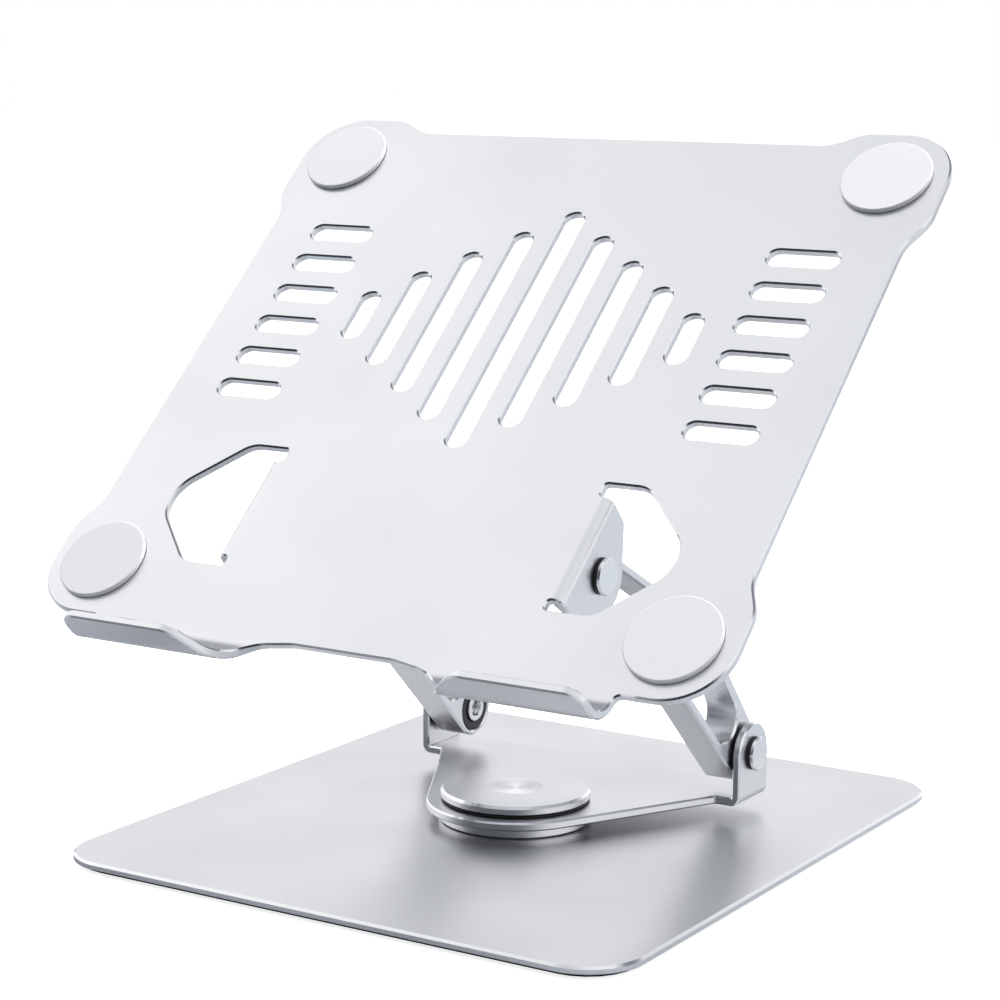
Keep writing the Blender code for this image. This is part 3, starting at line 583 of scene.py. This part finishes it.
# %% Bracket
SHEET = 3 * MM
BEND_INSIDE = 0.5 * MM
EAR_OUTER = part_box("bracket")[1].x
bracket_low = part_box("bracket")[0].z
bracket_high = bracket_low + SHEET
EAR_WIDTH = 21.5 * MM
PIN_HOLE = 3 * MM
PIN_HOLE_SIDES = 48
ear_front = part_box("bracket")[1].y - EAR_WIDTH
ear_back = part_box("bracket")[1].y
ear_middle = (ear_front + ear_back) / 2
NOSE = 31.2 * MM
NOSE_LEAN = math.radians(28.2)
apex = NOSE / math.sin(NOSE_LEAN)
shoulder = (ear_front + apex) * math.tan(NOSE_LEAN)
bend_start = EAR_OUTER - SHEET - BEND_INSIDE
laid_out = bend_start + bend_width(bracket_low, bracket_high, BEND_INSIDE)
ear_top = laid_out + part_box("bracket")[1].z - bracket_high - BEND_INSIDE
pin_out = laid_out + lower_hinge.z - bracket_high - BEND_INSIDE
ear_round = 10.74 * MM
half = [(shoulder, ear_front, 2.2 * MM), (ear_top, ear_front, ear_round),
        (ear_top, ear_back, ear_round)]
corners = [(0, -apex, NOSE)] + half + [(-a, b, r) for a, b, r in reversed(half)]
holes = [circle(0, 0, WASHER_BORE)]
holes += [circle(side * pin_out, ear_middle, PIN_HOLE, PIN_HOLE_SIDES) for side in (-1, 1)]
rim = chamfered(bracket_low, bracket_high, CHAMFER)
bracket = plate(rounded(corners), holes, [rim] * 4)
for side in (-1, 1):
    tab = [Vector((side * a, b)) for a, b in ((bend_start, ear_front - SHEET),
           (ear_top + SHEET, ear_front - SHEET), (ear_top + SHEET, ear_back + SHEET),
           (bend_start, ear_back + SHEET))]
    bend(bracket, Vector((side, 0)), bend_start, bracket_low, bracket_high, BEND_INSIDE, True, tab)
shown("bracket_sheet", bracket, [blasted, cut_edge], "turntable", ["bracket"])
print("bracket's ears are", round(EAR_OUTER * 2000, 1), "mm apart outside")

# %% [markdown]
# ## The arms
# Each arm is a bent bar with a long slot that follows its edges. Its bores are stepped: a wide
# pocket on the inner side holds the flange of a black bush. A step is one more ring in the hole's
# list of rings, so no Boolean is needed.

# %% Arms
END_RADIUS = 10.4 * MM
ELBOW = 55.4 * MM
ELBOW_BACK = 23.2 * MM
ELBOW_FRONT = -4.2 * MM
ELBOW_RADIUS = 25 * MM
WALL = 3.4 * MM
ARM_CHAMFER = 0.7 * MM
POCKET_RADIUS = 8.6 * MM
POCKET_DEPTH = 2.1 * MM
POCKET_STEP = 1.8 * MM
BORE_EDGE = 0.4 * MM
SLOT_END = 7.9 * MM
elbow_under = ELBOW_FRONT - ELBOW_RADIUS
elbow_over = ELBOW_BACK - ELBOW_RADIUS
arm_edge = belt([(0, 0, END_RADIUS), (ELBOW, elbow_under, -ELBOW_RADIUS),
                 (ARM_LENGTH, 0, END_RADIUS), (ELBOW, elbow_over, ELBOW_RADIUS)])
arm_slot = belt([(18.9 * MM, 3.3 * MM, SLOT_END), (ELBOW, elbow_under, -ELBOW_RADIUS - WALL),
                 (ARM_LENGTH - 19 * MM, 2.3 * MM, SLOT_END),
                 (ELBOW, elbow_over, ELBOW_RADIUS - WALL)])
for name, side in (("arm_left", -1), ("arm_right", 1)):
    arm_low, arm_high = sorted(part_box(name), key=lambda corner: corner.x)
    low, high = arm_low.x, arm_high.x
    rim = chamfered(low, high, ARM_CHAMFER)
    inner = low if side > 0 else high
    step = inner + side * POCKET_DEPTH
    outer = high if side > 0 else low
    bore = [(inner, BORE_EDGE), (inner + side * BORE_EDGE, 0), (step, 0), (step, -POCKET_STEP),
            (outer - side * BORE_EDGE, -POCKET_STEP), (outer, BORE_EDGE - POCKET_STEP)]
    bore = sorted(bore, key=lambda ring: ring[0]) if side > 0 else bore[::-1]
    holes = [arm_slot] + [circle(along, 0, POCKET_RADIUS) for along in (0, ARM_LENGTH)]
    bar = plate(arm_edge, holes, [rim, rim, bore, bore])
    flip = Matrix.Scale(-1, 4, (0, 1, 0))
    bmesh.ops.transform(bar, matrix=flip @ ALONG_X, verts=bar.verts)
    bmesh.ops.recalc_face_normals(bar, faces=bar.faces)
    shown(f"{name}_bar", bar, [blasted, cut_edge], "arms", [name], ON_ARM)
    print(name, round((high - low) * 1000, 1), "mm thick")

# %% [markdown]
# ## The hinges
# Four hinges are alike. Outside each ear sits a bright round pin head on a dark washer. On the
# arm's inner side we see the flange of the black bush and, in it, the open end of the sleeve that
# the pin is screwed into. Small bevels catch the light on every edge.

# %% Pins, washers, bushes and sleeves
TINY = 0.25 * MM
SHANK = 2.7 * MM
HEAD = 6 * MM
HEAD_THICKNESS = 1.3 * MM
SLEEVE_BORE = 3 * MM
SLEEVE_OUTER = 5 * MM
BUSH_BORE = 5.3 * MM
BUSH_OUTER = 6.5 * MM
FLANGE_OUTER = 8.3 * MM
FLANGE = 1.5 * MM
RING_SIDES = 72


def bevelled_ring(inner, outer, low, high, edge):
    """Ring with a bevel on both of its outer edges."""
    return [(inner, low), (outer - edge, low), (outer, low + edge), (outer, high - edge),
            (outer - edge, high), (inner, high)]


def spans(node):
    """Nearest and farthest reach of a node across the stand, from its middle."""
    low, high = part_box(node)
    return sorted((abs(low.x), abs(high.x)))


for level, place, ears in (("lower", lower_hinge, "turntable"), ("upper", upper_hinge, "tray")):
    for side_name, side in (("left", -1), ("right", 1)):
        turn = Matrix.Translation(place) @ Matrix.Rotation(side * math.pi / 2, 4, "Y")
        near, far = spans(f"{level}_pin_{side_name}")
        head = far - HEAD_THICKNESS
        profile = [(0, near), (SHANK - TINY, near), (SHANK, near + TINY), (SHANK, head),
                   (HEAD - TINY, head), (HEAD, head + TINY), (HEAD, far - 0.45 * MM),
                   (HEAD - 0.2 * MM, far - 0.12 * MM), (HEAD - 0.5 * MM, far), (0, far)]
        shown(f"{level}_{side_name}_pin_turned", turned(profile, sides=RING_SIDES), [pin_faces[level]],
              ears, [f"{level}_pin_{side_name}"], turn)
        near, far = spans(f"{level}_pin_washer_{side_name}")
        shown(f"{level}_{side_name}_pin_washer_ring",
              turned(bevelled_ring(PIN_HOLE, 5.9 * MM, near, far, 0.12 * MM), sides=RING_SIDES),
              [black_plastic], ears, [f"{level}_pin_washer_{side_name}"], turn)
        near, far = spans(f"{level}_sleeve_{side_name}")
        profile = [(SLEEVE_BORE + TINY, near), (SLEEVE_OUTER - TINY, near),
                   (SLEEVE_OUTER, near + TINY), (SLEEVE_OUTER, far), (SLEEVE_BORE, far),
                   (SLEEVE_BORE, near + TINY)]
        shown(f"{level}_{side_name}_sleeve_turned", turned(profile, sides=RING_SIDES),
              [pin_faces[level]], ears, [f"{level}_sleeve_{side_name}"], turn)
        near, far = spans(f"{level}_friction_washer_{side_name}")
        shown(f"{level}_{side_name}_friction_ring",
              turned(bevelled_ring(BUSH_BORE, 9 * MM, near, far, 0.1 * MM), sides=RING_SIDES),
              [black_plastic], ears, [f"{level}_friction_washer_{side_name}"],
              turn)
        near, far = spans(f"{level}_bush_{side_name}")
        profile = [(BUSH_BORE + TINY, near), (FLANGE_OUTER - TINY, near),
                   (FLANGE_OUTER, near + TINY), (FLANGE_OUTER, near + FLANGE),
                   (BUSH_OUTER, near + FLANGE), (BUSH_OUTER, far), (BUSH_BORE, far),
                   (BUSH_BORE, near + TINY)]
        shown(f"{level}_{side_name}_bush_moulded", turned(profile, sides=RING_SIDES), [black_plastic],
              "arms", [f"{level}_bush_{side_name}"], turn)
    print(level, "hinge line at height", round(place.z * 1000, 1), "mm")

# %% [markdown]
# ## The tray
# The tray is the stand's face: a 3 mm sheet with round lobes under its four pads, a diamond of
# nine slots and two ladders of six that let warm air out, two windows from which the ears are
# bent down, and two lips bent up in front. All of it is one flat pattern. The slots, windows and
# outer edge share one chamfer, which draws the bright line round every opening.

# %% The tray's outline
CORNER = 20.8 * MM
FRONT = -20.6 * MM
BACK = 214.1 * MM
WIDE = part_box("tray")[1].x
WAIST = WIDE - 5.5 * MM
LIP_START = -22 * MM
LIP_BEND = 8.5 * MM
LIP_HEIGHT = 16.7 * MM
lip_width = bend_width(-SHEET, 0, LIP_BEND)
lip_end = LIP_START - lip_width - (LIP_HEIGHT - LIP_BEND)
LOBE_STEP = 16 * MM
BACK_WAIST = 6 * MM
SLOPE = 5.5 * MM
front_slope = FRONT + 40.6 * MM
back_slope = BACK - 45.1 * MM
across_slope = WIDE - 42.2 * MM
right_half = [(19 * MM, FRONT, LOBE_STEP), (34 * MM, LIP_START - 1 * MM, 14 * MM),
              (41 * MM, LIP_START - 10.5 * MM, 9 * MM), (53 * MM, lip_end, 9 * MM),
              (98 * MM, lip_end, 6 * MM), (98 * MM, FRONT, 2.4 * MM),
              (WIDE, FRONT, CORNER), (WIDE, front_slope - SLOPE, LOBE_STEP),
              (WAIST, front_slope + SLOPE, LOBE_STEP), (WAIST, back_slope - SLOPE, LOBE_STEP),
              (WIDE, back_slope + SLOPE, LOBE_STEP), (WIDE, BACK, CORNER),
              (across_slope + SLOPE, BACK, LOBE_STEP),
              (across_slope - SLOPE, BACK - BACK_WAIST, LOBE_STEP)]
tray_edge = rounded(right_half + [(-a, b, r) for a, b, r in reversed(right_half)])
print("outline has", len(tray_edge), "points")

# %% [markdown]
# A window is cut as a letter C round the ear that stays attached along the fold. The small
# notches at both ends of the fold keep the sheet from tearing as it bends.

# %% Windows, ears and slots
EAR_HALF = 20.65 * MM
fold = EAR_OUTER - SHEET - BEND_INSIDE
ear_flat = fold + bend_width(-SHEET, 0, BEND_INSIDE) - SHEET - BEND_INSIDE
ear_pin = ear_flat + HINGE_BELOW
ear_point = ear_pin + 13.3 * MM * math.sqrt(2)
window_point = 83.7 * MM + 13.5 * MM * math.sqrt(2)
NOTCH = 1.3 * MM


def window(side):
    """The C-shaped opening: round the window, then back along the ear's edge."""
    front, back = HINGE_UP - 24.5 * MM, HINGE_UP + 25.8 * MM
    near, far = HINGE_UP - EAR_HALF, HINGE_UP + EAR_HALF
    corners = [(fold - NOTCH, front, NOTCH), (window_point - 24.5 * MM, front, 8 * MM),
               (window_point, HINGE_UP, 13.5 * MM), (window_point - 25.8 * MM, back, 9 * MM),
               (fold - NOTCH, back, NOTCH), (fold - NOTCH, far, NOTCH),
               (ear_point - EAR_HALF, far, 3 * MM), (ear_point, HINGE_UP, 13.3 * MM),
               (ear_point - EAR_HALF, near, 3 * MM), (fold - NOTCH, near, NOTCH)]
    return rounded([(side * a, b, r) for a, b, r in corners])


def slot_outline(across, up, half_across, half_up):
    """Slot with round ends."""
    radius = min(half_across, half_up) * 0.999
    corners = ((-1, -1), (1, -1), (1, 1), (-1, 1))
    return rounded([(across + i * half_across, up + j * half_up, radius) for i, j in corners])


EACH_SIDE = 4
PITCH = 16 * MM
MIDDLE_UP = 117.5 * MM
LONGEST_HALF = 53.6 * MM
SHORTER_BY = 10.7 * MM
LADDER_STEPS = 6
LADDER_IN = 37.9 * MM
LADDER_TOP = 155.5 * MM
LADDER_PITCH = 15.07 * MM
slots = []
for index in range(-EACH_SIDE, EACH_SIDE + 1):
    slots.append(slot_outline(index * PITCH, MIDDLE_UP, 4.1 * MM,
                              LONGEST_HALF - SHORTER_BY * abs(index)))
for side in (-1, 1):
    for index in range(LADDER_STEPS):
        slots.append(slot_outline(side * (WIDE - LADDER_IN), LADDER_TOP - LADDER_PITCH * index,
                                  13 * MM, 3.6 * MM))
windows = [window(side) for side in (-1, 1)]
pin_holes = [circle(side * ear_pin, HINGE_UP, PIN_HOLE, PIN_HOLE_SIDES) for side in (-1, 1)]
print(len(slots), "slots")

# %% [markdown]
# Now the press work: the two lips are bent up with a wide radius, and the two ears down with a
# tight one. Each bend is told which part of the sheet it may move.

# %% Cut, chamfer and bend the tray
rim = chamfered(-SHEET, 0, CHAMFER)
holes = slots + windows + pin_holes
tray = plate(tray_edge, holes, [rim] * (len(holes) + 1))
lips = [Vector(point) for point in ((-0.2, LIP_START), (-0.2, -0.2), (0.2, -0.2),
                                    (0.2, LIP_START))]
bend(tray, Vector((0, -1)), -LIP_START, -SHEET, 0, LIP_BEND, True, lips)
reach = ear_point - EAR_HALF + 2 * MM
for side in (-1, 1):
    tab = [Vector((side * a, HINGE_UP + b)) for a, b in
           ((fold, -EAR_HALF - MM), (reach, -EAR_HALF - MM), (ear_point - 3 * MM, -5 * MM),
            (ear_point - 3 * MM, 5 * MM), (reach, EAR_HALF + MM), (fold, EAR_HALF + MM))]
    bend(tray, Vector((side, 0)), fold, -SHEET, 0, BEND_INSIDE, False, tab)
shown("tray_sheet", tray, [blasted, cut_edge], "tray", ["tray"], ON_TRAY)
print("tray", round(WIDE * 2000, 1), "mm wide with", len(holes), "openings")

# %% [markdown]
# ## The pads
# Four discs of grey silicone keep the laptop from sliding and from being scratched. They are
# punched from sheet, so their edges are nearly square with a small soft rounding.

# %% Silicone pads
PAD_RADIUS = 15.7 * MM
PAD_INSET = 21.3 * MM
PAD_UNDER = 0.3 * MM
PAD_TOP = 1.8 * MM
PAD_EDGE = 0.45 * MM
rounding = [(PAD_RADIUS - PAD_EDGE * (1 - math.cos(turn)),
             PAD_TOP - PAD_EDGE * (1 - math.sin(turn)))
            for turn in (math.pi / 2 * i / 5 for i in range(6))]
for row, up in (("front", FRONT + PAD_INSET), ("back", BACK - PAD_INSET)):
    for side_name, side in (("left", -1), ("right", 1)):
        disc = turned([(0, PAD_UNDER), (PAD_RADIUS, PAD_UNDER)] + rounding + [(0, PAD_TOP)])
        place = ON_TRAY @ Matrix.Translation((side * (WIDE - PAD_INSET), up, 0))
        name = f"{row}_pad_{side_name}"
        shown(f"{name}_disc", disc, [silicone], "tray", [name], place)
print("four pads,", round(PAD_RADIUS * 2000, 1), "mm across")

# %% [markdown]
# The few pieces that stay hidden keep their model meshes. They still get a finish of their own.

# %% Hidden fasteners
steel = polished("plain steel", (0.55, 0.55, 0.56), (0, 0, 0), (1, 1, 0), 0.0003, (0.3, 0.4),
                 0.000002)
for name in ("hub_screw_1", "hub_screw_2", "hub_screw_3", "swivel_bolt", "swivel_spring"):
    frame["nodes"][name].data.materials[0] = steel
print("hidden pieces finished in", steel.name)

# %% [markdown]
# ## The studio
# A silver object shows what is around it, so the studio matters as much as the metal. The floor and
# the room are white where the camera sees them, and have tints of their own in reflections: a
# bright ceiling for the tray, pale walls for the base, a dark stretch of ceiling behind and a dark
# front that give the lips, legs and ears their blue-grey. The lamps light only what is matt.

# %% Floor, room light and lamps
FLOOR_HALF = 6
FLOOR_GAP = 0.2 * MM
WHITE = (1, 1, 1)
FLOOR_WHITE = (0.9, 0.9, 0.9)
FLOOR_FRONT = (0.03, 0.033, 0.04)
FRONT_STARTS, FRONT_ENDS = -0.3, -0.8


def seen_by_camera(tree):
    """1 where the camera looks straight at the surface, and 0 in reflections."""
    return tree.nodes.new("ShaderNodeLightPath").outputs["Is Camera Ray"]


def mixed(tree, factor, colour, tint):
    """Mixes a tint over a colour socket."""
    mix = tree.nodes.new("ShaderNodeMix")
    mix.data_type = "RGBA"
    mix.inputs["B"].default_value = (*tint, 1)
    tree.links.new(factor, mix.inputs["Factor"])
    tree.links.new(colour, mix.inputs["A"])
    return mix.outputs["Result"]


def plain_floor(reflected, glow):
    """White floor, far larger than the object, that shows darker in the metal."""
    mesh = bpy.data.meshes.new("floor")
    bm = bmesh.new()
    bmesh.ops.create_grid(bm, x_segments=1, y_segments=1, size=FLOOR_HALF)
    bm.to_mesh(mesh)
    bm.free()
    floor = bpy.data.objects.new("floor", mesh)
    bpy.context.collection.objects.link(floor)
    floor.location.z = -FLOOR_GAP
    material = bpy.data.materials.new("pale floor")
    material.use_nodes = True
    tree = material.node_tree
    shader = tree.nodes["Principled BSDF"]
    shader.inputs["Roughness"].default_value = 1.0
    shader.inputs["Specular IOR Level"].default_value = 0.0
    shader.inputs["Emission Color"].default_value = (1, 1, 1, 1)
    direct = seen_by_camera(tree)
    split = tree.nodes.new("ShaderNodeSeparateXYZ")
    tree.links.new(tree.nodes.new("ShaderNodeTexCoord").outputs["Object"], split.inputs["Vector"])
    fade = tree.nodes.new("ShaderNodeMapRange")
    fade.interpolation_type = "SMOOTHSTEP"
    fade.inputs["From Min"].default_value = FRONT_STARTS
    fade.inputs["From Max"].default_value = FRONT_ENDS
    tree.links.new(split.outputs["Y"], fade.inputs["Value"])
    tint = tree.nodes.new("ShaderNodeRGB")
    tint.outputs[0].default_value = (*reflected, 1)
    colour = mixed(tree, fade.outputs["Result"], tint.outputs[0], FLOOR_FRONT)
    colour = mixed(tree, direct, colour, FLOOR_WHITE)
    tree.links.new(colour, shader.inputs["Base Color"])
    lift = tree.nodes.new("ShaderNodeMath")
    lift.operation = "MULTIPLY"
    lift.inputs[1].default_value = glow
    tree.links.new(direct, lift.inputs[0])
    tree.links.new(lift.outputs["Value"], shader.inputs["Emission Strength"])
    mesh.materials.append(material)


def room_light(ceiling, bands):
    """White room. In reflections its ceiling takes the tints of the bands, one after another."""
    world = bpy.data.worlds.new("studio room")
    bpy.context.scene.world = world
    world.use_nodes = True
    tree = world.node_tree
    where = tree.nodes.new("ShaderNodeTexCoord").outputs["Generated"]
    split = tree.nodes.new("ShaderNodeSeparateXYZ")
    tree.links.new(where, split.inputs["Vector"])
    tinted = tree.nodes.new("ShaderNodeRGB")
    tinted.outputs[0].default_value = (*ceiling, 1)
    colour = tinted.outputs[0]
    for axis, start, end, tint in bands:
        fade = tree.nodes.new("ShaderNodeMapRange")
        fade.interpolation_type = "SMOOTHSTEP"
        fade.inputs["From Min"].default_value = start
        fade.inputs["From Max"].default_value = end
        tree.links.new(split.outputs[axis], fade.inputs["Value"])
        colour = mixed(tree, fade.outputs["Result"], colour, tint)
    colour = mixed(tree, seen_by_camera(tree), colour, WHITE)
    background = tree.nodes["Background"]
    tree.links.new(colour, background.inputs["Color"])


def softbox(name, place, target, size, power):
    """Square area lamp aimed at a point. The metal mirrors only the room, so no lamp glares."""
    lamp = bpy.data.lights.new(name, "AREA")
    lamp.size = size
    lamp.energy = power
    obj = bpy.data.objects.new(name, lamp)
    bpy.context.collection.objects.link(obj)
    obj.visible_glossy = False
    obj.location = place
    obj.rotation_euler = (Vector(target) - Vector(place)).to_track_quat("-Z", "Y").to_euler()


bpy.context.scene.view_settings.view_transform = "Standard"
plain_floor((0.40, 0.42, 0.45), 0.8)
room_light((1.14, 1.14, 1.145), [("X", -0.68, -0.30, (0.87, 0.885, 0.915)),
                             ("Y", 0.12, 0.45, (0.22, 0.23, 0.26)),
                             ("Z", 0.66, 0.32, (1.02, 1.025, 1.04)),
                             ("Y", -0.2, -0.75, (0.04, 0.045, 0.06))])
middle = (0, 0, 0.1)
softbox("overhead softbox", (0.6, 0.7, 1.7), middle, 1.2, 42)
softbox("left softbox", (-1.6, -0.2, 0.7), middle, 0.8, 5)
print("studio lit")

# %% [markdown]
# ## The camera
# The camera stands a little to the right of the front and slightly above the stand, with a long
# lens that keeps the edges nearly parallel.

# %% Camera
SENSOR = 36
lens = bpy.data.cameras.new("camera")
lens.sensor_width = SENSOR
lens.lens = 2.67757 * SENSOR
lens.clip_start = 0.01
camera = bpy.data.objects.new("camera", lens)
bpy.context.collection.objects.link(camera)
right = Vector((0.84692572, 0.53166687, 0.0068671))
down = Vector((0.0970284, -0.14183865, -0.98512298))
forward = Vector((-0.52278323, 0.8349923, -0.17171359))
turn = Matrix((right, -down, -forward)).transposed().to_4x4()
camera.matrix_world = Matrix.Translation((0.47298, -0.76709, 0.26935 + base_high.z)) @ turn
bpy.context.scene.camera = camera
print("camera", round(camera.location.length, 3), "m from the origin")
